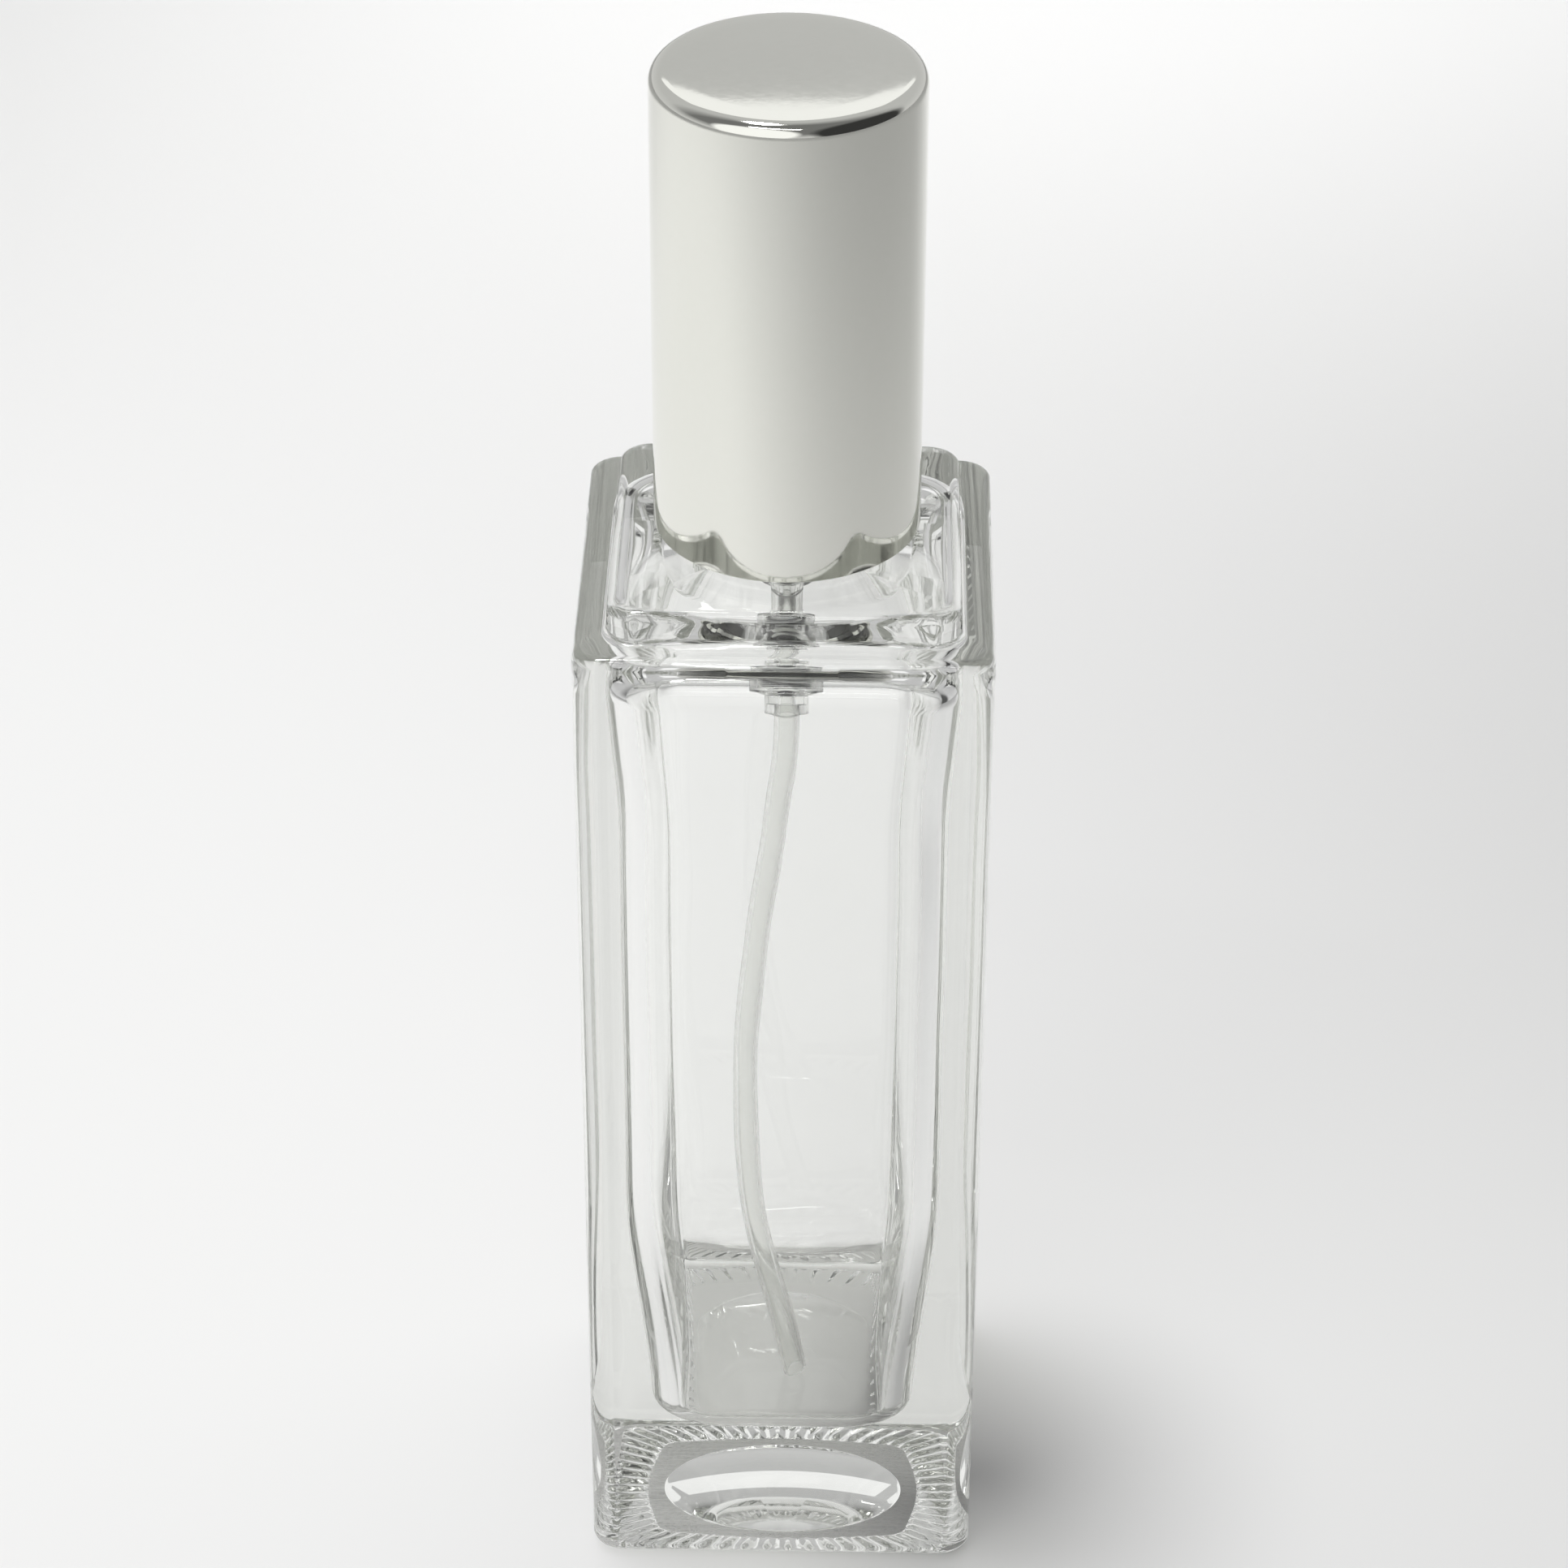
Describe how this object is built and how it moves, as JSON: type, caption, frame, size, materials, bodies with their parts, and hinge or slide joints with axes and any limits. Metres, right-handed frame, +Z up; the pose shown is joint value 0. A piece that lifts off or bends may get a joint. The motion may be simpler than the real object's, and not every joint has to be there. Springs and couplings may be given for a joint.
{
  "type": "spray bottle",
  "caption": "Tall square clear-glass spray bottle with a stepped shoulder, crimped pump, dip tube and a bright round metal overcap.",
  "frame": {"origin": "centre of the underside, on the plane the bottle stands on", "axes": "+Z up along the bottle, -Y towards the front, where the spray nozzle points, +X to the right"},
  "size_m": [0.03, 0.03, 0.123],
  "materials": {
    "clear_glass": "clear, fire polished",
    "bright_aluminium": "bright anodised",
    "crimp_aluminium": "satin",
    "natural_plastic": "translucent, unpigmented",
    "white_plastic": "white, fine satin",
    "seal_rubber": "dark, matt",
    "seal_plastic": "soft, pale",
    "spring_steel": "bright drawn wire"
  },
  "bodies": {
    "bottle": {"glass_bottle": "clear_glass", "neck_gasket": "seal_rubber", "crimp_ferrule": "crimp_aluminium", "collar_insert": "white_plastic", "collar_shell": "bright_aluminium", "pump_housing": "natural_plastic", "stem_gasket": "seal_rubber", "gland_ring": "white_plastic", "return_spring": "spring_steel", "dip_tube": "natural_plastic"},
    "plunger": {"stem": "white_plastic", "stem_pin": "white_plastic", "inner_spring": "spring_steel"},
    "slip_piston": {"piston": "seal_plastic"},
    "valve_ball": {"check_ball": "spring_steel"},
    "button": {"button_shell": "bright_aluminium", "button_core": "white_plastic", "nozzle_insert": "white_plastic"},
    "overcap": {"cap_shell": "bright_aluminium", "cap_liner": "natural_plastic"}
  },
  "joints": [
    {"name": "cap_lift", "type": "slide", "parent": "bottle", "child": "overcap", "axis": [0, 0, 1], "range_m": [0, 0.045]},
    {"name": "button_press", "type": "slide", "parent": "bottle", "child": "plunger", "axis": [0, 0, -1], "range_m": [0, 0.0045], "stiffness_N_per_m": 800, "springref_m": -0.01, "deforming": ["return_spring"]},
    {"name": "button_turn", "type": "hinge", "parent": "plunger", "child": "button", "pos_m": [0, 0, 0.108], "axis": [0, 0, 1], "continuous": true},
    {"name": "piston_slip", "type": "slide", "parent": "plunger", "child": "slip_piston", "axis": [0, 0, 1], "range_m": [0, 0.0008], "stiffness_N_per_m": 1500, "springref_m": -0.0015, "deforming": ["inner_spring"]},
    {"name": "ball_lift", "type": "slide", "parent": "bottle", "child": "valve_ball", "axis": [0, 0, 1], "range_m": [0, 0.0008]}
  ]
}
